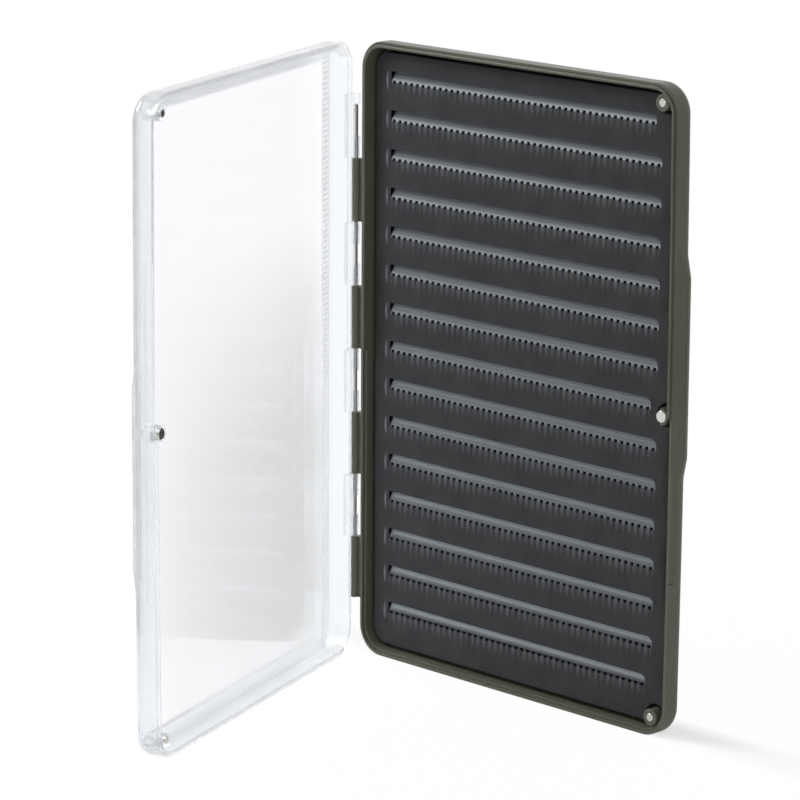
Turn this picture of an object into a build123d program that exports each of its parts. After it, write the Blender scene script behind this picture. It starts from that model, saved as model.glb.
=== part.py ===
from build123d import *
import os

os.makedirs("parts", exist_ok=True)

# Slim fly box: foam-lined tray and clear lid on one long side hinge.
# Millimetres. X runs from the hinge side to the free side of the tray,
# Y from the rim into the tray, Z up the long way of the box.
# Both shells are drawn shut, with the rim plane at y = 0. At the end the
# lid is swung open, and the box is moved so that its origin is the middle
# of the tray's rest face.

# outline shared by both shells
box_width = 125.8
box_height = 190.0
side_bow = 0.6            # bulge of the free side at mid height
corner_radius = 8.7
wall = 1.9
rim_edge = 0.2

# rim: each shell has a tongue along one half of its height and a rebate
# along the other, so the two shells key together
ledge_width = 1.0         # outside the tongue
tongue_height = 0.7
lip_width = 0.9           # outside the rebate
rebate_depth = 0.8
half_gap = 0.2            # left plain between the two rebates
tongue_gap = 0.1          # between the end of a tongue and the end of its rebate
tongue_edge = 0.3
rim_gap = 0.15            # between the two rims when shut

# tray
base_depth = 7.0
base_floor = 1.2
base_round = 3.0
gate_spot = (3.15, 91.0)  # moulding gate on the free side, y and z
gate_radius = 0.35
gate_reach = 0.3

# lid
lid_depth = 7.4
lid_panel = 1.4
lid_round = 2.9
border_inset = 5.2        # raised field inside the lid panel
border_step = 0.35
tick_count = 113          # fine ribs down the hinge side of the field
tick_pitch = 1.6
tick_left = 5.5           # from the hinge side wall
tick_length = 3.6
tick_width = 0.75
tick_height = 0.25
tick_slope = 9.0

# hinge
axis_offset = 2.33        # pin axis outside the side walls
pin_radius = 0.6
pin_clearance = 0.05
pin_low = 17.5
pin_high = 170.0
barrel_radius = 1.3
barrel_flat = 0.4
knuckle_count = 8
knuckle_pitch = 19.6
knuckle_gap = 0.3
arm_gap = 0.15
arm_depth = 2.4
window_low = 6.4          # opening in each lid knuckle that shows the pin
window_high = 12.8
top_window_high = 16.3
open_angle = 69.7

# magnets
corner_magnet_radius = 1.2
corner_magnet_length = 2.0
middle_magnet_radius = 1.75
middle_magnet_length = 2.6
magnet_face = 0.15        # magnet face behind the rim plane
corner_magnet_side = 6.1  # from the free side
corner_magnet_end = 5.5   # from the short end
middle_magnet_side = 4.2
boss_face = 0.25
boss_edge = 0.3
base_boss_radius = 2.5
lid_boss_radius = 2.3
middle_boss_radius = 2.5
boss_opening = 0.3        # the tray's middle boss is open past this line

# foam
foam_face = 2.7           # front face behind the rim plane
foam_inset = 3.4
foam_edge = 0.35
tape_thickness = 0.1
row_count = 15
row_pitch = 11.72
top_row_edge = 178.0      # lower edge of the top groove
groove_height = 3.0
groove_depth = 2.3
groove_left = 9.9         # from the hinge side
groove_lip = 0.3          # square part above the slope, at the deep end
groove_corner = 1.8
notch_count = 45
notch_pitch = 2.4
notch_width = 1.2
notch_low = -0.5          # notches reach below and above the lower edge
notch_high = 0.35
notch_depth = 1.2
short_rows = (0, 7, 14)   # one notch fewer, clear of a magnet
foam_relief = 1.0         # room round each magnet boss

# grip: a hollow along the free side that runs out into a finger tab
scoop_half = 48.6         # half its length, about mid height
scoop_depth = 0.5         # at the rim
scoop_reach = 2.9         # from the rim to the plain side
tab_middle = 108.8
tab_length = 66.6
tab_ramp = 7.2
tab_reach = 1.2
tab_front = 3.9           # front edge of the tab, behind the rim
tab_curve = 9.0
tab_edge = 0.15           # flat along its front edge

mid_height = box_height / 2
left_x = -box_width / 2
right_x = box_width / 2
axis_x = left_x - axis_offset
hinge_axis = Axis((axis_x, 0, 0), (0, 0, 1))
knuckle_bottom = mid_height - knuckle_count * knuckle_pitch / 2
rest_face_y = 2.0         # middle of the tray's flat rest face
floor_y = base_depth - base_floor
panel_y = lid_depth - lid_panel
corner_spots = [
    (right_x - corner_magnet_side, corner_magnet_end),
    (right_x - corner_magnet_side, box_height - corner_magnet_end),
]
middle_spot = (right_x - middle_magnet_side, mid_height)


def at_y(y):
    """Plane parallel to the rim, y behind it, facing out of the tray."""
    return Plane.XZ.offset(-y)


def outline(inset=0.0):
    """Rounded box outline with the bowed free side, moved in by inset."""
    with BuildSketch() as shape:
        with BuildLine():
            Polyline((right_x, 0), (left_x, 0), (left_x, box_height), (right_x, box_height))
            ThreePointArc((right_x, box_height), (right_x + side_bow, mid_height), (right_x, 0))
        make_face()
        fillet(shape.vertices(), radius=corner_radius)
        if inset > 0:
            offset(amount=-inset, mode=Mode.REPLACE)
    return shape.sketch


def half_outline(inset, upper, gap=0.0):
    """The part of an outline above or below mid height."""
    side = 1 if upper else -1
    with BuildSketch() as shape:
        add(outline(inset))
        with Locations((0, mid_height + side * (mid_height + gap))):
            Rectangle(2 * box_width, box_height, mode=Mode.INTERSECT)
    return shape.sketch


def tabbed_outline():
    """Box outline with the finger tab standing out on the free side."""
    low = tab_middle - tab_length / 2
    high = tab_middle + tab_length / 2
    tip = right_x + side_bow + tab_reach
    with BuildSketch() as shape:
        add(outline())
        with BuildLine():
            Polyline((right_x - 1, low), (right_x + side_bow / 2, low), (tip, low + tab_ramp),
                     (tip, high - tab_ramp), (right_x + side_bow / 2, high), (right_x - 1, high), close=True)
        make_face()
        corners = shape.vertices().filter_by(
            lambda corner: corner.X > right_x and low - 1 < corner.Y < high + 1)
        fillet(corners, radius=tab_curve)
    return shape.sketch


def shell(depth, floor_y, back_round):
    """One shell, tray way round: the rim at y = 0 and the tongue on the upper half."""
    with BuildPart() as body:
        with BuildSketch(at_y(0)):
            add(tabbed_outline())
        extrude(amount=-depth)
        fillet(body.faces().sort_by(Axis.Y)[-1].edges(), radius=back_round)
        fillet(body.faces().sort_by(Axis.Y)[0].edges(), radius=rim_edge)
        # hollow beside the rim, rising to the front edge of the tab
        side = right_x + side_bow
        tip = side + tab_reach
        with BuildSketch(Plane.XY.offset(mid_height - scoop_half)):
            with BuildLine():
                ThreePointArc((side - scoop_depth, 0), (side, scoop_reach), (tip - tab_edge, tab_front))
                Polyline((tip - tab_edge, tab_front), (tip + 1, tab_front), (tip + 1, -1),
                         (side - scoop_depth, -1), (side - scoop_depth, 0))
            make_face()
        extrude(amount=2 * scoop_half, mode=Mode.SUBTRACT)
        with BuildSketch(at_y(0)):
            add(half_outline(ledge_width, True, half_gap / 2 + tongue_gap))
        extrude(amount=tongue_height)
        with BuildSketch(at_y(-1)):
            add(half_outline(lip_width, False, half_gap / 2))
        extrude(amount=-(rebate_depth + 1), mode=Mode.SUBTRACT)
        with BuildSketch(at_y(-1)):
            add(outline(wall))
        extrude(amount=-(floor_y + 1), mode=Mode.SUBTRACT)
        fillet(body.faces().sort_by(Axis.Y)[0].edges(), radius=tongue_edge)
    return body.part


def knuckle(low, high, side):
    """Hinge barrel with its arm; side is 1 for the tray and -1 for the lid."""
    with BuildPart() as block:
        with BuildSketch(Plane.XY.offset(low)):
            with Locations((axis_x, 0)):
                Circle(barrel_radius)
            with BuildLine():
                Polyline((axis_x, side * arm_gap), (left_x + 0.4, side * arm_gap),
                         (left_x + 0.4, side * arm_depth), (axis_x + 1.0, side * arm_depth),
                         (axis_x - 0.4, side * barrel_radius * 0.9), close=True)
            make_face()
        extrude(amount=high - low)
    return block.part


def knuckle_span(index):
    """Lower and upper end of a knuckle, counted from the bottom."""
    low = knuckle_bottom + index * knuckle_pitch + knuckle_gap / 2
    return low, low + knuckle_pitch - knuckle_gap


def groove_cutter(notches):
    """One hook groove with its serrated lower edge, standing on z = 0."""
    start = left_x + groove_left
    length = notches * notch_pitch
    with BuildPart() as cutter:
        with BuildSketch(Plane.YZ.offset(start)):
            with BuildLine():
                Polyline((foam_face - 1.0, 0), (foam_face, 0),
                         (foam_face + groove_depth, groove_height - groove_lip),
                         (foam_face + groove_depth, groove_height),
                         (foam_face - 1.0, groove_height), close=True)
            make_face()
        extrude(amount=length)
        with BuildSketch(at_y(foam_face - 2.0)) as face:
            with Locations((start + length / 2, groove_height / 2)):
                Rectangle(length, groove_height)
            fillet(face.vertices().sort_by(Axis.X)[-2:].sort_by(Axis.Y)[-1:], radius=groove_corner)
        extrude(amount=-(groove_depth + 4.0), mode=Mode.INTERSECT)
        with BuildSketch(at_y(foam_face - 0.5)):
            for count in range(notches):
                with Locations((start + (count + 0.5) * notch_pitch, (notch_low + notch_high) / 2)):
                    Rectangle(notch_width, notch_high - notch_low)
        extrude(amount=-(notch_depth + 0.5))
    return cutter.part


def soften_bosses(body, y, radius):
    """Round the front edges of the corner bosses that start at y."""
    rings = body.edges().filter_by(GeomType.CIRCLE).filter_by(
        lambda edge: abs(edge.center(CenterOf.GEOMETRY).Y - y) < 0.01 and abs(edge.radius - radius) < 0.01)
    fillet(rings, radius=boss_edge)


# tray
with BuildPart() as base_shell:
    add(shell(base_depth, floor_y, base_round))
    # moulding gate
    with BuildSketch(Plane.YZ.offset(right_x)):
        with Locations(gate_spot):
            Circle(gate_radius)
    extrude(amount=side_bow + gate_reach)
    # magnet bosses standing on the floor
    with BuildSketch(at_y(boss_face)):
        with Locations(*corner_spots):
            Circle(base_boss_radius)
    extrude(amount=-(floor_y + 0.3 - boss_face))
    soften_bosses(base_shell, boss_face, base_boss_radius)
    with BuildSketch(at_y(boss_face)):
        with Locations(middle_spot):
            Circle(middle_boss_radius)
            with Locations((-middle_boss_radius - boss_opening, 0)):
                Rectangle(2 * middle_boss_radius, 3 * middle_boss_radius, mode=Mode.SUBTRACT)
    extrude(amount=-(floor_y + 0.3 - boss_face))
    with BuildSketch(at_y(magnet_face + middle_magnet_length)):
        with Locations(middle_spot):
            Circle(middle_boss_radius)
    extrude(amount=-(floor_y + 0.3 - magnet_face - middle_magnet_length))
    # magnet pockets
    with BuildSketch(at_y(magnet_face)):
        with Locations(*corner_spots):
            Circle(corner_magnet_radius)
    extrude(amount=-corner_magnet_length, mode=Mode.SUBTRACT)
    with BuildSketch(at_y(magnet_face)):
        with Locations(middle_spot):
            Circle(middle_magnet_radius)
    extrude(amount=-middle_magnet_length, mode=Mode.SUBTRACT)
    # hinge knuckles, flattened on the outside over their middle third
    for index in range(0, knuckle_count, 2):
        low, high = knuckle_span(index)
        add(knuckle(low, high, 1))
        with BuildSketch(Plane.XY.offset(low + window_low)):
            with Locations((axis_x - barrel_radius, 0)):
                Rectangle(2 * barrel_flat, 2.5 * barrel_radius)
        extrude(amount=window_high - window_low, mode=Mode.SUBTRACT)
    with BuildSketch(Plane.XY.offset(pin_low)):
        with Locations((axis_x, 0)):
            Circle(pin_radius)
    extrude(amount=pin_high - pin_low, mode=Mode.SUBTRACT)

# lid: the same moulding turned over
with BuildPart() as lid_shell:
    turned = shell(lid_depth - rim_gap, panel_y - rim_gap, lid_round)
    turned = turned.rotate(Axis((0, 0, mid_height), (1, 0, 0)), 180)
    add(turned.moved(Location((0, -rim_gap, 0))))
    # raised field of the panel, with its fine ribs
    with BuildSketch(at_y(-panel_y + border_step)):
        add(outline(border_inset))
    extrude(amount=border_step + 0.1)
    with BuildSketch(at_y(-panel_y + border_step + tick_height)):
        with Locations((left_x + tick_left + tick_length / 2, mid_height)):
            with GridLocations(tick_length, tick_pitch, 1, tick_count):
                Rectangle(tick_length, tick_width, rotation=-tick_slope)
    extrude(amount=border_step + tick_height + 0.1)
    # magnet bosses
    with BuildSketch(at_y(-boss_face)):
        with Locations(*corner_spots):
            Circle(lid_boss_radius)
    extrude(amount=panel_y + 0.3 - boss_face)
    soften_bosses(lid_shell, -boss_face, lid_boss_radius)
    with BuildSketch(at_y(-boss_face)):
        with Locations(middle_spot):
            Circle(middle_boss_radius)
    extrude(amount=panel_y + 0.3 - boss_face)
    with BuildSketch(at_y(-magnet_face)):
        with Locations(*corner_spots):
            Circle(corner_magnet_radius)
    extrude(amount=corner_magnet_length, mode=Mode.SUBTRACT)
    with BuildSketch(at_y(-magnet_face)):
        with Locations(middle_spot):
            Circle(middle_magnet_radius)
    extrude(amount=middle_magnet_length, mode=Mode.SUBTRACT)
    # hinge knuckles, half open over a window that shows the pin
    for index in range(1, knuckle_count, 2):
        low, high = knuckle_span(index)
        add(knuckle(low, high, -1))
        reach = top_window_high if index == knuckle_count - 1 else window_high
        with BuildSketch(Plane.XY.offset(low + window_low)):
            with Locations((axis_x, 0)):
                Rectangle(3 * barrel_radius, 2 * barrel_radius, align=(Align.CENTER, Align.MIN))
        extrude(amount=reach - window_low, mode=Mode.SUBTRACT)
    with BuildSketch(Plane.XY.offset(pin_low)):
        with Locations((axis_x, 0)):
            Circle(pin_radius + pin_clearance)
    extrude(amount=pin_high + 0.2 - pin_low, mode=Mode.SUBTRACT)

# foam and the tape that holds it
with BuildPart() as foam_insert:
    with BuildSketch(at_y(foam_face)):
        add(outline(foam_inset))
        with Locations(*corner_spots, middle_spot):
            Circle(base_boss_radius + foam_relief, mode=Mode.SUBTRACT)
    extrude(amount=-(floor_y - tape_thickness - foam_face))
    fillet(foam_insert.faces().sort_by(Axis.Y)[0].edges(), radius=foam_edge)
    for row in range(row_count):
        notches = notch_count - 1 if row in short_rows else notch_count
        with Locations((0, 0, top_row_edge - row * row_pitch)):
            add(groove_cutter(notches), mode=Mode.SUBTRACT)

with BuildPart() as foam_tape:
    with BuildSketch(at_y(floor_y - tape_thickness)):
        add(outline(foam_inset + 0.5))
        with Locations(*corner_spots, middle_spot):
            Circle(base_boss_radius + foam_relief + 0.5, mode=Mode.SUBTRACT)
    extrude(amount=-tape_thickness)

# hinge pin
with BuildPart() as hinge_pin:
    with BuildSketch(Plane.XY.offset(pin_low)):
        with Locations((axis_x, 0)):
            Circle(pin_radius)
    extrude(amount=pin_high - pin_low)
    chamfer(hinge_pin.edges().filter_by(GeomType.CIRCLE), length=0.15)


def magnet(spot, y, radius, length):
    """Magnet disc starting at y and reaching away from the rim plane."""
    with BuildPart() as disc:
        with BuildSketch(at_y(y)):
            with Locations(spot):
                Circle(radius)
        extrude(amount=length if y < 0 else -length)
        ends = disc.edges().filter_by(GeomType.CIRCLE).sort_by(Axis.Y)
        chamfer(ends[-1] if y < 0 else ends[0], length=0.15)
    return disc.part


def save(part, name, on_lid=False):
    """Swing a lid piece open, set the box on its origin and write the file."""
    if on_lid:
        part = part.rotate(hinge_axis, -open_angle)
    part = part.moved(Location((0, -rest_face_y, 0)))
    part.label = name
    export_step(part, "parts/" + name + ".step")
    print(name, round(part.volume, 1), part.is_valid, part.bounding_box().size)


save(base_shell.part, "base_shell")
save(foam_insert.part, "foam_insert")
save(foam_tape.part, "foam_tape")
save(hinge_pin.part, "hinge_pin")
save(lid_shell.part, "lid_shell", on_lid=True)
magnet_places = [
    ("magnet_bottom", corner_spots[0], corner_magnet_radius, corner_magnet_length),
    ("magnet_middle", middle_spot, middle_magnet_radius, middle_magnet_length),
    ("magnet_top", corner_spots[1], corner_magnet_radius, corner_magnet_length),
]
for name, spot, radius, length in magnet_places:
    save(magnet(spot, magnet_face, radius, length), "base_" + name)
    save(magnet(spot, -magnet_face, radius, length), "lid_" + name, on_lid=True)
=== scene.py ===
import bpy
import bmesh
import math
from mathutils import Matrix, Vector


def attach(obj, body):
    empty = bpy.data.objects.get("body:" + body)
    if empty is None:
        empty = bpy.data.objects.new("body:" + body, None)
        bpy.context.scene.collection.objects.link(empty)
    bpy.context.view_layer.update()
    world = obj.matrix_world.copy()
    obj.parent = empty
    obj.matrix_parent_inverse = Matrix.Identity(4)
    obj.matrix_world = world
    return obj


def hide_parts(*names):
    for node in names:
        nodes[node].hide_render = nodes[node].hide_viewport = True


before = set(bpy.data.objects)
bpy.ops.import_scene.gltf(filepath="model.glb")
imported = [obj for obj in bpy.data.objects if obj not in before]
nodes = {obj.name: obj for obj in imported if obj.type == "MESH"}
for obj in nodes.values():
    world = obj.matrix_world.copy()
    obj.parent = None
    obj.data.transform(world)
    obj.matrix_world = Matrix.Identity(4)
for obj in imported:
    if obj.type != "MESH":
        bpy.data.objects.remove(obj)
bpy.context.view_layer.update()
mm = 0.001

print("frame loaded:", len(nodes), "nodes")


# materials

def hexColour(text):
    channels = [int(text[i:i + 2], 16) / 255 for i in (1, 3, 5)]
    linear = [c / 12.92 if c <= 0.04045 else ((c + 0.055) / 1.055) ** 2.4 for c in channels]
    return (*linear, 1.0)


# inputs go by socket name or number: a Map Range takes its value at 0, the range coming in at 1 and 2
# and the range going out at 3 and 4; a Mix takes its factor at 0, numbers at 2 and 3, colours at 6 and 7
def addNode(tree, kind, inputs=None, **settings):
    node = tree.nodes.new(kind)
    for name, value in settings.items():
        setattr(node, name, value)
    for key, value in (inputs or {}).items():
        if isinstance(value, bpy.types.NodeSocket):
            tree.links.new(value, node.inputs[key])
        else:
            node.inputs[key].default_value = value
    return node


def startMaterial(name):
    material = bpy.data.materials.new(name)
    material.use_nodes = True
    tree = material.node_tree
    tree.nodes.clear()
    output = addNode(tree, "ShaderNodeOutputMaterial")
    place = addNode(tree, "ShaderNodeTexCoord").outputs["Object"]
    return material, tree, output, place


trayPlastic = {
    "grain": 0.45 * mm,       # coarser than the real grain, which is too fine to show
    "grainRise": 0.02 * mm,
    "cloud": 35 * mm,
    "colours": ("#4d4d42", "#525247"),
    "roughness": (0.28, 0.36),
    "specular": 0.3,
}


# injection moulded ABS from a spark eroded mould: satin olive grey with a fine even grain
def mouldedAbs(m):
    material, tree, output, place = startMaterial("olive moulded ABS")
    grain = addNode(tree, "ShaderNodeTexNoise",
                    {"Vector": place, "Scale": 1 / m["grain"], "Detail": 3.0})
    cloud = addNode(tree, "ShaderNodeTexNoise",
                    {"Vector": place, "Scale": 1 / m["cloud"], "Detail": 2.0})
    patch = addNode(tree, "ShaderNodeMapRange", {0: cloud.outputs["Fac"], 1: 0.35, 2: 0.65})
    colour = addNode(tree, "ShaderNodeMix",
                     {0: patch.outputs[0], 6: hexColour(m["colours"][0]), 7: hexColour(m["colours"][1])},
                     data_type="RGBA")
    rough = addNode(tree, "ShaderNodeMapRange",
                    {0: grain.outputs["Fac"], 1: 0.3, 2: 0.7,
                     3: m["roughness"][0], 4: m["roughness"][1]})
    bump = addNode(tree, "ShaderNodeBump",
                   {"Height": grain.outputs["Fac"], "Strength": 0.25, "Distance": m["grainRise"]})
    shader = addNode(tree, "ShaderNodeBsdfPrincipled",
                     {"Base Color": colour.outputs[2], "Roughness": rough.outputs[0], "IOR": 1.53,
                      "Specular IOR Level": m["specular"], "Normal": bump.outputs["Normal"]})
    tree.links.new(shader.outputs[0], output.inputs["Surface"])
    return material


# the lid's flat panel is found where it lies once it is turned shut, about the middle of the box
lidPanel = {
    "toShut": (-44.475 * mm, 59.872 * mm, -95.0 * mm),
    "turn": math.radians(69.7),
    "halfWidth": 57.2 * mm,
    "halfHeight": 89.2 * mm,
    "face": -7.6 * mm,        # inner face of the panel; ribs and walls stand above it
    "faceBlend": 0.1 * mm,
    "blend": 0.8 * mm,
    "tint": "#f5fafd",
    "throughTint": "#fdfdfe",
    "filmTint": "#fafbfd",
    "roughness": 0.05,
    "ripple": 18 * mm,
    "rippleRise": 0.1 * mm,
    # a smaller share shows more reflection; the lower corner's smaller share is a painted shade
    "wallClear": 0.44,        # share that is plainly see-through, without reflections: walls and ribs,
    "panelClear": 0.93,       # most of the panel,
    "cornerClear": 0.52,      # and the panel's lower corner by the hinge
    "lowFrom": 45 * mm,       # heights and places across the panel between which that corner fades in
    "lowTo": -20 * mm,
    "innerFrom": 50 * mm,
    "innerTo": -45 * mm,
    "topLightHaze": 0.06,             # milky share at hazeTo and above; rising toward the top, it is painted light that makes the upper panel lighter
    "hazeFrom": -30 * mm,
    "hazeTo": 45 * mm,
}


# polished polycarbonate: clear and faintly blue, reflecting most on the walls and ribs; on the flat
# panel reflections fade away from the lower hinge corner, a painted shade placed there, and a thin milky
# film toward the top catches light from behind, a painted lightening of the panel's upper part
def clearPolycarbonate(m):
    material, tree, output, place = startMaterial("clear polycarbonate")
    ripple = addNode(tree, "ShaderNodeTexNoise",
                     {"Vector": place, "Scale": 1 / m["ripple"], "Detail": 1.0})
    bump = addNode(tree, "ShaderNodeBump",
                   {"Height": ripple.outputs["Fac"], "Strength": 0.15, "Distance": m["rippleRise"]})
    glass = addNode(tree, "ShaderNodeBsdfPrincipled",
                    {"Base Color": hexColour(m["tint"]), "Roughness": m["roughness"], "IOR": 1.585,
                     "Transmission Weight": 1.0, "Normal": bump.outputs["Normal"]})
    through = addNode(tree, "ShaderNodeBsdfTransparent", {"Color": hexColour(m["throughTint"])})
    film = addNode(tree, "ShaderNodeBsdfTranslucent", {"Color": hexColour(m["filmTint"])})
    shut = addNode(tree, "ShaderNodeMapping",
                   {"Vector": place, "Location": m["toShut"], "Rotation": (0.0, 0.0, m["turn"])})
    spread = addNode(tree, "ShaderNodeVectorMath", {0: shut.outputs[0]}, operation="ABSOLUTE")
    away = addNode(tree, "ShaderNodeSeparateXYZ", {0: spread.outputs[0]})
    plain = addNode(tree, "ShaderNodeSeparateXYZ", {0: shut.outputs[0]})
    across = addNode(tree, "ShaderNodeMapRange",
                     {0: away.outputs["X"], 1: m["halfWidth"] - m["blend"], 2: m["halfWidth"],
                      3: 1.0, 4: 0.0})
    along = addNode(tree, "ShaderNodeMapRange",
                    {0: away.outputs["Z"], 1: m["halfHeight"] - m["blend"], 2: m["halfHeight"],
                     3: 1.0, 4: 0.0})
    deep = addNode(tree, "ShaderNodeMapRange",
                   {0: away.outputs["Y"], 1: -m["face"] - m["faceBlend"], 2: -m["face"]})
    flat = addNode(tree, "ShaderNodeMath", {0: across.outputs[0], 1: along.outputs[0]},
                   operation="MULTIPLY")
    panel = addNode(tree, "ShaderNodeMath", {0: flat.outputs[0], 1: deep.outputs[0]},
                    operation="MULTIPLY")
    low = addNode(tree, "ShaderNodeMapRange", {0: plain.outputs["Z"], 1: m["lowFrom"], 2: m["lowTo"]})
    inner = addNode(tree, "ShaderNodeMapRange",
                    {0: plain.outputs["X"], 1: m["innerFrom"], 2: m["innerTo"]})
    corner = addNode(tree, "ShaderNodeMath", {0: low.outputs[0], 1: inner.outputs[0]},
                     operation="MULTIPLY")
    # painted shade: more reflection and grey toward the panel's lower hinge corner
    panelClearWithCornerShade = addNode(tree, "ShaderNodeMapRange",
                    {0: corner.outputs[0], 3: m["panelClear"], 4: m["cornerClear"]})
    share = addNode(tree, "ShaderNodeMix",
                    {0: panel.outputs[0], 2: m["wallClear"], 3: panelClearWithCornerShade.outputs[0]})
    # painted light: the milky film grows toward the top
    cloud = addNode(tree, "ShaderNodeMapRange",
                    {0: plain.outputs["Z"], 1: m["hazeFrom"], 2: m["hazeTo"], 3: 0.0, 4: m["topLightHaze"]})
    topLightHaze = addNode(tree, "ShaderNodeMath", {0: cloud.outputs[0], 1: panel.outputs[0]},
                   operation="MULTIPLY")
    clear = addNode(tree, "ShaderNodeMixShader",
                    {0: share.outputs[0], 1: glass.outputs[0], 2: through.outputs[0]})
    milky = addNode(tree, "ShaderNodeMixShader",
                    {0: topLightHaze.outputs[0], 1: clear.outputs[0], 2: film.outputs[0]})
    path = addNode(tree, "ShaderNodeLightPath")
    both = addNode(tree, "ShaderNodeMixShader",
                   {0: path.outputs["Is Shadow Ray"], 1: milky.outputs[0], 2: through.outputs[0]})
    tree.links.new(both.outputs[0], output.inputs["Surface"])
    return material


foamFinish = {
    "cells": 0.35 * mm,       # coarser than the real cells, which are too fine to show
    "cellRise": 0.04 * mm,
    "cloud": 9 * mm,
    "skin": ("#28282b", "#2f2f31"),
    # pale lip colour: partly wear, partly a painted sheen on the bulging flaps
    "wornLipAndSheen": "#6a6d70",
    # bluish cut-face colour, reached where the painted highlight on it is full
    "cutFaceAndHighlight": "#a9b2b8",
    # painted shade: near black in the notches and on the starting wall of each groove
    "paintedShade": "#0b0b0c",
    "roughness": (0.8, 0.4),  # skin, cut face
    "shine": (0.25, 0.55),    # skin, cut face
    # share of shine kept where the painted shade lies
    "paintedShadeShine": 0.1,
}


# closed-cell EVA foam: matte charcoal skin, smoother and bluer where a hot blade has cut it, with a
# painted highlight on the cut face that changes from row to row
def evaFoam(m):
    material, tree, output, place = startMaterial("charcoal EVA foam")
    cells = addNode(tree, "ShaderNodeTexVoronoi", {"Vector": place, "Scale": 1 / m["cells"]})
    cloud = addNode(tree, "ShaderNodeTexNoise",
                    {"Vector": place, "Scale": 1 / m["cloud"], "Detail": 4.0})
    # cut-face mask, which also carries the painted highlight that changes from row to row
    cut = addNode(tree, "ShaderNodeAttribute", attribute_name="cutFaceAndHighlight").outputs["Fac"]
    # pale lip mask: partly wear, partly a painted sheen, and the painted highlight beside each groove's
    # start
    wornAndSheen = addNode(tree, "ShaderNodeAttribute", attribute_name="wornLipAndSheen").outputs["Fac"]
    # painted shade mask of the notches and groove starts
    paintedShade = addNode(tree, "ShaderNodeAttribute", attribute_name="slotPaintedShade").outputs["Fac"]
    patch = addNode(tree, "ShaderNodeMapRange", {0: cloud.outputs["Fac"], 1: 0.35, 2: 0.65})
    skin = addNode(tree, "ShaderNodeMix",
                   {0: patch.outputs[0], 6: hexColour(m["skin"][0]), 7: hexColour(m["skin"][1])},
                   data_type="RGBA")
    lip = addNode(tree, "ShaderNodeMix", {0: wornAndSheen, 6: skin.outputs[2], 7: hexColour(m["wornLipAndSheen"])},
                  data_type="RGBA")
    face = addNode(tree, "ShaderNodeMix", {0: cut, 6: lip.outputs[2], 7: hexColour(m["cutFaceAndHighlight"])},
                   data_type="RGBA")
    colour = addNode(tree, "ShaderNodeMix", {0: paintedShade, 6: face.outputs[2], 7: hexColour(m["paintedShade"])},
                     data_type="RGBA")
    rough = addNode(tree, "ShaderNodeMapRange",
                    {0: cut, 1: 0.0, 2: 1.0, 3: m["roughness"][0], 4: m["roughness"][1]})
    shine = addNode(tree, "ShaderNodeMapRange",
                    {0: cut, 1: 0.0, 2: 1.0, 3: m["shine"][0], 4: m["shine"][1]})
    # less shine where the painted shade lies
    unshaded = addNode(tree, "ShaderNodeMapRange",
                       {0: paintedShade, 1: 0.0, 2: 1.0, 3: 1.0, 4: m["paintedShadeShine"]})
    dull = addNode(tree, "ShaderNodeMath", {0: shine.outputs[0], 1: unshaded.outputs[0]},
                   operation="MULTIPLY")
    bump = addNode(tree, "ShaderNodeBump",
                   {"Height": cells.outputs["Distance"], "Strength": 0.3, "Distance": m["cellRise"]})
    shader = addNode(tree, "ShaderNodeBsdfPrincipled",
                     {"Base Color": colour.outputs[2], "Roughness": rough.outputs[0], "IOR": 1.49,
                      "Specular IOR Level": dull.outputs[0], "Normal": bump.outputs["Normal"]})
    tree.links.new(shader.outputs[0], output.inputs["Surface"])
    return material


magnetPlate = {
    "scuff": 0.3 * mm,        # coarser than real scuffs, so that they show
    "colours": ("#c4c3bb", "#d6d5cd"),
    "roughness": (0.2, 0.36),
}


# nickel plated magnet: warm bright metal, faintly scuffed by the mating magnet
def nickelPlate(m):
    material, tree, output, place = startMaterial("nickel plate")
    scuff = addNode(tree, "ShaderNodeTexNoise",
                    {"Vector": place, "Scale": 1 / m["scuff"], "Detail": 4.0})
    rough = addNode(tree, "ShaderNodeMapRange",
                    {0: scuff.outputs["Fac"], 1: 0.3, 2: 0.7,
                     3: m["roughness"][0], 4: m["roughness"][1]})
    colour = addNode(tree, "ShaderNodeMix",
                     {0: scuff.outputs["Fac"], 6: hexColour(m["colours"][0]),
                      7: hexColour(m["colours"][1])}, data_type="RGBA")
    shader = addNode(tree, "ShaderNodeBsdfPrincipled",
                     {"Base Color": colour.outputs[2], "Metallic": 1.0, "Roughness": rough.outputs[0]})
    tree.links.new(shader.outputs[0], output.inputs["Surface"])
    return material


hingeWire = {
    "line": 0.12 * mm,        # coarser than real drawing lines, so that they show
    "alongScale": 0.04,
    "colour": "#8e8e8f",
    "roughness": (0.25, 0.4),
}


# drawn stainless wire: grey metal with fine lines along its length
def drawnSteel(m):
    material, tree, output, place = startMaterial("drawn stainless steel")
    stretched = addNode(tree, "ShaderNodeMapping",
                        {"Vector": place, "Scale": (1.0, 1.0, m["alongScale"])})
    lines = addNode(tree, "ShaderNodeTexNoise",
                    {"Vector": stretched.outputs[0], "Scale": 1 / m["line"]})
    rough = addNode(tree, "ShaderNodeMapRange",
                    {0: lines.outputs["Fac"], 1: 0.3, 2: 0.7,
                     3: m["roughness"][0], 4: m["roughness"][1]})
    shader = addNode(tree, "ShaderNodeBsdfPrincipled",
                     {"Base Color": hexColour(m["colour"]), "Metallic": 1.0,
                      "Roughness": rough.outputs[0]})
    tree.links.new(shader.outputs[0], output.inputs["Surface"])
    return material


tapeFilm = {
    "mottle": 3 * mm,
    "colours": ("#b9b3a2", "#cbc6b8"),
    "roughness": 0.5,
}


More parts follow.
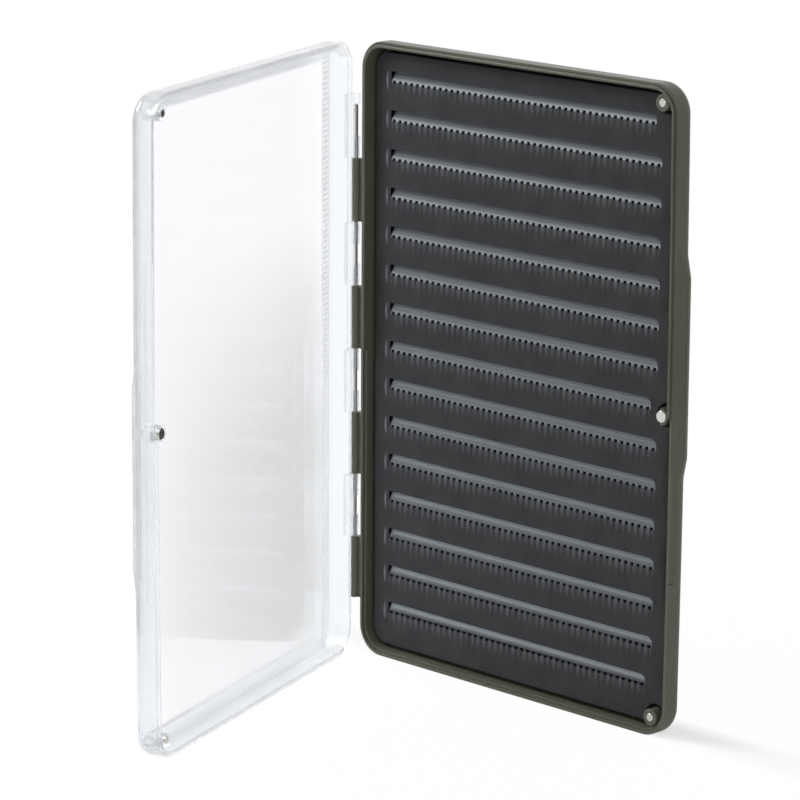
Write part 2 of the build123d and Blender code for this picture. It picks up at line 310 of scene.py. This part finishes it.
# adhesive film: off-white, slightly mottled
def adhesiveFilm(m):
    material, tree, output, place = startMaterial("adhesive film")
    mottle = addNode(tree, "ShaderNodeTexNoise",
                     {"Vector": place, "Scale": 1 / m["mottle"], "Detail": 3.0})
    colour = addNode(tree, "ShaderNodeMix",
                     {0: mottle.outputs["Fac"], 6: hexColour(m["colours"][0]),
                      7: hexColour(m["colours"][1])}, data_type="RGBA")
    shader = addNode(tree, "ShaderNodeBsdfPrincipled",
                     {"Base Color": colour.outputs[2], "Roughness": m["roughness"]})
    tree.links.new(shader.outputs[0], output.inputs["Surface"])
    return material


def dress(name, material):
    mesh = nodes[name].data
    mesh.materials.clear()
    mesh.materials.append(material)


olivePlastic = mouldedAbs(trayPlastic)
clearPlastic = clearPolycarbonate(lidPanel)
foamMaterial = evaFoam(foamFinish)
nickel = nickelPlate(magnetPlate)
steel = drawnSteel(hingeWire)
film = adhesiveFilm(tapeFilm)
dress("base_shell", olivePlastic)
dress("lid_shell", clearPlastic)
dress("foam_tape", film)
dress("hinge_pin", steel)
for place in ("bottom", "middle", "top"):
    dress("base_magnet_" + place, nickel)
    dress("lid_magnet_" + place, nickel)
print("materials ready")


# foam insert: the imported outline, with each groove row cut finely

foamInsert = {
    "left": -53.0 * mm,        # start of the grooves
    "slitPitch": 2.4 * mm,
    "slits": 45,
    "shortRows": (0, 7, 14),   # one slit fewer, beside a magnet
    "rows": 15,
    "rowPitch": 11.72 * mm,
    "topEdge": 178.0 * mm,     # lower edge of the top groove
    "height": 3.0 * mm,
    "depth": 1.8 * mm,
    "shallower": 0.2,          # share by which the bottom groove is shallower than the top one
    "lip": 0.3 * mm,
    "corner": 1.8 * mm,
    "notchHalf": 0.6 * mm,
    "notchLow": -0.5 * mm,
    "notchHigh": 0.35 * mm,
    "notchDepth": 1.2 * mm,
    "slitHalf": 0.09 * mm,     # wider than a real slit, so that it shows
    "slitLength": 5.2 * mm,
    "slitDepth": 0.1 * mm,
    "bulge": 0.12 * mm,        # the flaps between slits stand out a little
    "bulgeLength": 3.4 * mm,
    "leastWear": 0.3,          # each flap stands out and is worn by 0.3 to 1
    # how pale a flap's lip is: partly wear, partly a painted sheen on its bulge
    "lipWearAndSheen": 0.6,
    "slope": 1.5,              # the cut face rounds over: steep by its lower edge, flatter inside
    # painted highlight on the cut face, which is also a little paler than the skin:
    "paintedLightLow": 0.63,           # how pale the top row's cut face is: by its lower edge,
    "paintedLightReach": 0.33,         # as far up as this share of it,
    "paintedLightDeep": 0.47,          # and at its deep end
    "paintedLightBottom": 1.45,        # the bottom row's painted highlight lies at its deep end only
    "paintedLightPower": 2.6,
    "creaseOut": 1.7 * mm,     # crease beside the start of each groove: a slight rise with a painted highlight along it
    "creaseMiddle": 0.2 * mm,
    "creaseHalf": 3.0 * mm,
    "creaseBow": 0.35 * mm,
    "creaseWidth": 0.36 * mm,
    "creaseRise": 0.12 * mm,
    "creasePaintedHighlight": 0.9,
    "front": 0.7 * mm,
    "marginLeft": 2.4 * mm,
    "marginRight": 0.4 * mm,
    "marginHeight": 0.6 * mm,
    "frame": 0.4 * mm,         # plain strip round each cut row
    "wallStep": 0.02 * mm,     # half the run of a wall that is nearly square
    "creaseColumns": 9,        # columns of points over the crease, and the step between them
    "creaseStep": 0.2 * mm,
    "startColumn": 0.1 * mm,   # a column just before the groove's start
    "slitLevels": (-4.4 * mm, -3.0 * mm, -1.6 * mm),
    "faceLevels": (1.2 * mm, 1.8 * mm, 2.3 * mm),
    "lipLevel": 2.9 * mm,
    "weld": 0.001 * mm,        # points nearer than this are one
    "sharpAngle": 15,
}


def slitCount(f, row):
    return f["slits"] - (1 if row in f["shortRows"] else 0)


def rowEnd(f, row):
    return f["left"] + slitCount(f, row) * f["slitPitch"]


def rowBase(f, row):
    return f["topEdge"] - row * f["rowPitch"]


def foamColumns(f, row):
    step, pitch, mid = f["wallStep"], f["slitPitch"], f["slitPitch"] / 2
    edges = [mid - f["notchHalf"], mid + f["notchHalf"]]
    offsets = [0.0, edges[0] - step, edges[0] + step, mid - f["slitHalf"], mid, mid + f["slitHalf"],
               edges[1] - step, edges[1] + step]
    count = slitCount(f, row)
    columns = [-f["marginLeft"] + k * f["creaseStep"] for k in range(f["creaseColumns"])]
    columns += [-f["startColumn"], -step, step]
    columns += [k * pitch + o for k in range(count) for o in offsets if k or o]
    columns += [count * pitch - step, count * pitch + step, count * pitch + f["marginRight"]]
    return [f["left"] + c for c in columns]


def foamLevels(f, row):
    step = f["wallStep"]
    offsets = [-f["slitLength"] - f["marginHeight"], -f["slitLength"], *f["slitLevels"],
               f["notchLow"] - step, f["notchLow"] + step, 0.0,
               f["notchHigh"] - step, f["notchHigh"] + step, *f["faceLevels"],
               f["height"] - f["lip"], f["lipLevel"], f["height"] - step, f["height"] + step,
               f["height"] + f["marginHeight"]]
    return [rowBase(f, row) + o for o in offsets]


# a point of a row's front sheet: depth behind the front, cut face with its painted highlight, worn lip
# with its painted sheen, painted slot shade
def foamPoint(f, row, x, z):
    rise = z - rowBase(f, row)
    end = rowEnd(f, row)
    if x < f["left"]:
        away = (rise - f["creaseMiddle"]) / f["creaseHalf"]
        bow = f["left"] - f["creaseOut"] + f["creaseBow"] * away ** 2
        crease = math.exp(-((x - bow) / f["creaseWidth"]) ** 2) * max(0.0, 1 - away ** 2)
        # the groove's starting wall is painted dark, a painted shade
        byStart = x > f["left"] - 2 * f["wallStep"]
        edge = 1.0 if byStart and 0 <= rise < f["height"] else 0.0
        # the crease's paleness is a painted highlight
        return -f["creaseRise"] * crease, 0.0, f["creasePaintedHighlight"] * crease, edge
    if x > end or rise < -f["slitLength"] or rise > f["height"]:
        return 0.0, 0.0, 0.0, 0.0
    slit = int((x - f["left"]) / f["slitPitch"])
    place = ((x - f["left"]) / f["slitPitch"]) % 1.0
    fromSlit = abs(place - 0.5) * f["slitPitch"]
    uneven = abs(math.sin(12.9 * slit + 7.8 * row + 0.3 * slit * row))   # differs from flap to flap
    wear = f["leastWear"] + (1 - f["leastWear"]) * uneven
    fade = max(0.0, min(1.0, 1 + rise / f["slitLength"]))
    taper = max(0.0, min(1.0, 1 + rise / f["bulgeLength"], (x - f["left"]) / f["notchHalf"],
                         (end - x) / f["notchHalf"]))
    swell = math.cos(math.pi * place) ** 2 * taper * wear
    depth, cut, paintedShade = -f["bulge"] * swell, 0.0, 0.0
    # pale lip of the flap: partly wear, partly a painted sheen on the bulge
    lip = f["lipWearAndSheen"] * swell
    if 0 <= rise < f["height"]:
        inward = min(1.0, rise / (f["height"] - f["lip"]))
        down = row / (f["rows"] - 1)
        depth = inward ** f["slope"] * f["depth"] * (1 - f["shallower"] * down)
        # painted highlight: the top row's cut face is pale by its lower edge and at its deep end, the
        # bottom row's at its deep end only
        top = f["paintedLightLow"] * math.exp(-(inward / f["paintedLightReach"]) ** 2) + f["paintedLightDeep"] * inward ** 3
        bottom = min(1.0, f["paintedLightBottom"] * inward ** f["paintedLightPower"])
        cut, lip = (1 - down) * top + down * bottom, 0.0
        # the groove's starting wall is painted dark, a painted shade
        paintedShade = 1.0 if x < f["left"] + 2 * f["wallStep"] else 0.0
    # notches are cut in and painted dark, a painted shade
    if fromSlit < f["notchHalf"] and f["notchLow"] < rise < f["notchHigh"]:
        depth, cut, lip, paintedShade = max(depth, f["notchDepth"]), 0.0, 0.0, 1.0
    elif fromSlit < 0.5 * f["slitHalf"] and rise < 0:
        depth, lip = f["slitDepth"] * fade * wear, 0.0
    return depth, cut, lip, paintedShade


# the upper corner at the end of a groove is round: columns of the last pitch draw in
def roundEnd(f, row, x, z):
    rise = z - rowBase(f, row)
    start = rowEnd(f, row) - f["slitPitch"]
    over = min(rise, f["height"]) - (f["height"] - f["corner"])
    inLastPitch = start < x < start + f["slitPitch"] + 2 * f["wallStep"]
    if over < 0 or not inLastPitch or rise > f["height"] + 2 * f["wallStep"]:
        return x
    run = f["corner"] - math.sqrt(max(0.0, f["corner"] ** 2 - over ** 2))
    return start + (x - start) * (f["slitPitch"] - run) / f["slitPitch"]


def rowWindow(f, row):
    columns, levels = foamColumns(f, row), foamLevels(f, row)
    return (columns[0] - f["frame"], columns[-1] + f["frame"],
            levels[0] - f["frame"], levels[-1] + f["frame"])


# cut a window in the front of the foam for each row
def openWindows(bm, f):
    windows = [rowWindow(f, row) for row in range(f["rows"])]
    sides = sorted({round(x, 7) for w in windows for x in w[:2]})
    cuts = [((x, 0, 0), (1, 0, 0)) for x in sides]
    cuts += [((0, 0, z), (0, 0, 1)) for w in windows for z in w[2:]]
    for corner, normal in cuts:
        bmesh.ops.bisect_plane(bm, geom=bm.verts[:] + bm.edges[:] + bm.faces[:],
                               dist=0.1 * f["weld"], plane_co=corner, plane_no=normal)
    backY = max(v.co.y for v in bm.verts)
    doomed = []
    for face in bm.faces:
        c = face.calc_center_median()
        inWindow = any(w[0] < c.x < w[1] and w[2] < c.z < w[3] for w in windows)
        if c.y < backY - 50 * f["weld"] and inWindow:
            doomed.append(face)
    bmesh.ops.delete(bm, geom=doomed, context="FACES")
    return windows


# the cut sheet of one row; gives its rim, to be joined to the window
def addRow(bm, f, row, layers):
    columns, levels = foamColumns(f, row), foamLevels(f, row)
    before = {e for e in bm.edges if e.is_boundary}
    sheet = bmesh.ops.create_grid(bm, x_segments=len(columns) - 1, y_segments=len(levels) - 1,
                                  size=1.0)["verts"]
    for v in sheet:
        column = round((v.co.x + 1) / 2 * (len(columns) - 1))
        level = round((v.co.y + 1) / 2 * (len(levels) - 1))
        x, z = columns[column], levels[level]
        depth, *shades = foamPoint(f, row, x, z)
        v.co = (roundEnd(f, row, x, z), f["front"] + depth, z)
        for layer, shade in zip(layers, shades):
            v[layer] = shade
    return [e for e in bm.edges if e.is_boundary and e not in before]


def makeFoam(f):
    bm = bmesh.new()
    layers = [bm.verts.layers.float.new(name) for name in ("cutFaceAndHighlight", "wornLipAndSheen", "slotPaintedShade")]
    bm.from_mesh(nodes["foam_insert"].data)
    bmesh.ops.remove_doubles(bm, verts=bm.verts, dist=f["weld"])
    windows = openWindows(bm, f)
    holes = [e for e in bm.edges if e.is_boundary]
    spare = 10 * f["weld"]
    for row, (left, right, low, high) in enumerate(windows):
        hole = [e for e in holes
                if low - spare < (e.verts[0].co.z + e.verts[1].co.z) / 2 < high + spare]
        rim = addRow(bm, f, row, layers)
        bmesh.ops.triangle_fill(bm, edges=hole + rim, use_beauty=True)
    bmesh.ops.recalc_face_normals(bm, faces=bm.faces)
    mesh = bpy.data.meshes.new("foamInsert")
    bm.to_mesh(mesh)
    openEdges = sum(1 for e in bm.edges if not e.is_manifold)
    bm.free()
    mesh.shade_smooth()
    mesh.set_sharp_from_angle(angle=math.radians(f["sharpAngle"]))
    mesh.materials.append(foamMaterial)
    foam = bpy.data.objects.new("foamInsert", mesh)
    bpy.context.scene.collection.objects.link(foam)
    print("foam insert:", len(mesh.polygons), "faces,", openEdges, "open edges")
    return foam


foam = makeFoam(foamInsert)
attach(foam, "tray")
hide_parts("foam_insert")


# floor, light and camera

studio = {
    "floorHalf": 6.0,
    "floorDrop": 0.02 * mm,   # so that the floor and the box's foot don't share a plane
    "paper": ("#dedede", "#e3e3e3"),
    "mottle": 4 * mm,
    "underShare": 0.5,        # how much of the floor is plain white to the eye: close behind the box,
    "besideShare": 0.97,      # beside it, and from farRadius on all of it
    "contactY": 0.007,
    "underHalf": 0.002,
    "besideHalf": 0.01,
    "nearRadius": 0.08,
    "farRadius": 0.25,
    "backdropSide": (-0.55, 0.65, 0.52),
    "roomEnds": -0.5,         # cosines of the angle from backdropSide: dim up to the first,
    "backdropStarts": 0.8,    # bright from the second
    "dimLevel": 0.36,         # the room in front
    "brightLevel": 1.0,       # the lit backdrop behind
}


# matt paper: pale with a faint mottle; beside and beyond the box it is plain white to the eye
def makeFloor(s):
    material, tree, output, place = startMaterial("matt pale paper")
    mottle = addNode(tree, "ShaderNodeTexNoise",
                     {"Vector": place, "Scale": 1 / s["mottle"], "Detail": 3.0})
    tone = addNode(tree, "ShaderNodeMix",
                   {0: mottle.outputs["Fac"], 6: hexColour(s["paper"][0]),
                    7: hexColour(s["paper"][1])}, data_type="RGBA")
    paper = addNode(tree, "ShaderNodeBsdfDiffuse", {"Color": tone.outputs[2]})
    bright = addNode(tree, "ShaderNodeEmission", {"Color": (1, 1, 1, 1), "Strength": 1.0})
    path = addNode(tree, "ShaderNodeLightPath")
    seen = addNode(tree, "ShaderNodeMath",
                   {0: path.outputs["Is Camera Ray"], 1: path.outputs["Is Transmission Ray"]},
                   operation="MAXIMUM")
    away = addNode(tree, "ShaderNodeVectorMath", {0: place}, operation="LENGTH")
    behind = addNode(tree, "ShaderNodeVectorMath", {0: place, 1: (0.0, s["contactY"], 0.0)},
                     operation="SUBTRACT")
    spread = addNode(tree, "ShaderNodeVectorMath", {0: behind.outputs[0]}, operation="ABSOLUTE")
    off = addNode(tree, "ShaderNodeSeparateXYZ", {0: spread.outputs[0]})
    beside = addNode(tree, "ShaderNodeMapRange",
                     {0: off.outputs["Y"], 1: s["underHalf"], 2: s["besideHalf"],
                      3: s["underShare"], 4: s["besideShare"]})
    far = addNode(tree, "ShaderNodeMapRange",
                  {0: away.outputs["Value"], 1: s["nearRadius"], 2: s["farRadius"],
                   3: s["underShare"], 4: 1.0})
    share = addNode(tree, "ShaderNodeMath", {0: beside.outputs[0], 1: far.outputs[0]},
                    operation="MAXIMUM")
    plain = addNode(tree, "ShaderNodeMath", {0: seen.outputs[0], 1: share.outputs[0]},
                    operation="MULTIPLY")
    both = addNode(tree, "ShaderNodeMixShader",
                   {0: plain.outputs[0], 1: paper.outputs[0], 2: bright.outputs[0]})
    tree.links.new(both.outputs[0], output.inputs["Surface"])
    bm = bmesh.new()
    bmesh.ops.create_grid(bm, x_segments=8, y_segments=8, size=s["floorHalf"])
    bmesh.ops.translate(bm, verts=bm.verts, vec=(0, 0, -s["floorDrop"]))
    mesh = bpy.data.meshes.new("floor")
    bm.to_mesh(mesh)
    bm.free()
    mesh.materials.append(material)
    floor = bpy.data.objects.new("floor", mesh)
    bpy.context.scene.collection.objects.link(floor)


# pale backdrop behind the box and a dimmer room in front; white wherever it is seen directly or
# through the lid
def makeWorld(s):
    world = bpy.data.worlds.new("studio")
    bpy.context.scene.world = world
    world.use_nodes = True
    tree = world.node_tree
    tree.nodes.clear()
    output = addNode(tree, "ShaderNodeOutputWorld")
    look = addNode(tree, "ShaderNodeTexCoord").outputs["Generated"]
    behind = Vector(s["backdropSide"]).normalized()
    facing = addNode(tree, "ShaderNodeVectorMath", {0: look, 1: behind}, operation="DOT_PRODUCT")
    soft = addNode(tree, "ShaderNodeMapRange",
                   {0: facing.outputs["Value"], 1: s["roomEnds"], 2: s["backdropStarts"],
                    3: s["dimLevel"], 4: s["brightLevel"]})
    path = addNode(tree, "ShaderNodeLightPath")
    seen = addNode(tree, "ShaderNodeMath",
                   {0: path.outputs["Is Camera Ray"], 1: path.outputs["Is Transmission Ray"]},
                   operation="MAXIMUM")
    level = addNode(tree, "ShaderNodeMix", {0: seen.outputs[0], 2: soft.outputs[0], 3: 1.0})
    back = addNode(tree, "ShaderNodeBackground",
                   {"Color": (1, 1, 1, 1), "Strength": level.outputs[0]})
    tree.links.new(back.outputs[0], output.inputs["Surface"])


softboxes = {
    "keySoftbox": {"side": (-0.69, -0.40, 0.60), "distance": 1.1, "size": 0.45, "power": 8.0},
    "rightSoftbox": {"side": (0.75, -0.48, 0.48), "distance": 1.4, "size": 0.9, "power": 4.5},
}


def addSoftbox(name, s, target):
    lamp = bpy.data.lights.new(name, "AREA")
    lamp.shape = "SQUARE"
    lamp.size = s["size"]
    lamp.energy = s["power"]
    side = Vector(s["side"]).normalized()
    softbox = bpy.data.objects.new(name, lamp)
    softbox.location = Vector(target) + side * s["distance"]
    softbox.rotation_euler = side.to_track_quat("Z", "Y").to_euler()
    bpy.context.scene.collection.objects.link(softbox)


viewpoint = {
    "focal": 4051.3,          # in pixels of a frame frameWidth wide
    "frameWidth": 800,
    "sensor": 36,
    "turn": 45.202,           # degrees
    "tilt": 13.141,
    "roll": 0.365,
    "hinge": (-62.9, -2.0, 95.0),   # middle of the hinge side, in mm
    "aimRight": 11.997,       # the camera aims this far right of it and below it, in mm
    "aimBelow": 15.277,
    "distance": 1.230663,
}


def makeCamera(v):
    camera = bpy.data.cameras.new("camera")
    camera.sensor_width = v["sensor"]
    camera.lens = v["focal"] / v["frameWidth"] * v["sensor"]
    camera.clip_start = 0.01
    obj = bpy.data.objects.new("camera", camera)
    turn, tilt, roll = (math.radians(v[angle]) for angle in ("turn", "tilt", "roll"))
    away = Vector((math.sin(turn) * math.cos(tilt), -math.cos(turn) * math.cos(tilt), math.sin(tilt)))
    right = Vector((math.cos(turn), math.sin(turn), 0))
    up = away.cross(right)
    target = Vector(v["hinge"]) * mm + right * v["aimRight"] * mm - up * v["aimBelow"] * mm
    place = target + away * v["distance"]
    rolledRight = math.cos(roll) * right + math.sin(roll) * up
    rolledUp = math.cos(roll) * up - math.sin(roll) * right
    turned = Matrix((rolledRight, rolledUp, away)).transposed().to_4x4()
    obj.matrix_world = Matrix.Translation(place) @ turned
    bpy.context.scene.collection.objects.link(obj)
    bpy.context.scene.camera = obj


makeFloor(studio)
makeWorld(studio)
middle = (-0.01, -0.02, 0.09)
for name, softbox in softboxes.items():
    addSoftbox(name, softbox, middle)
makeCamera(viewpoint)
print("studio ready")

bpy.context.scene.view_settings.view_transform = "Standard"
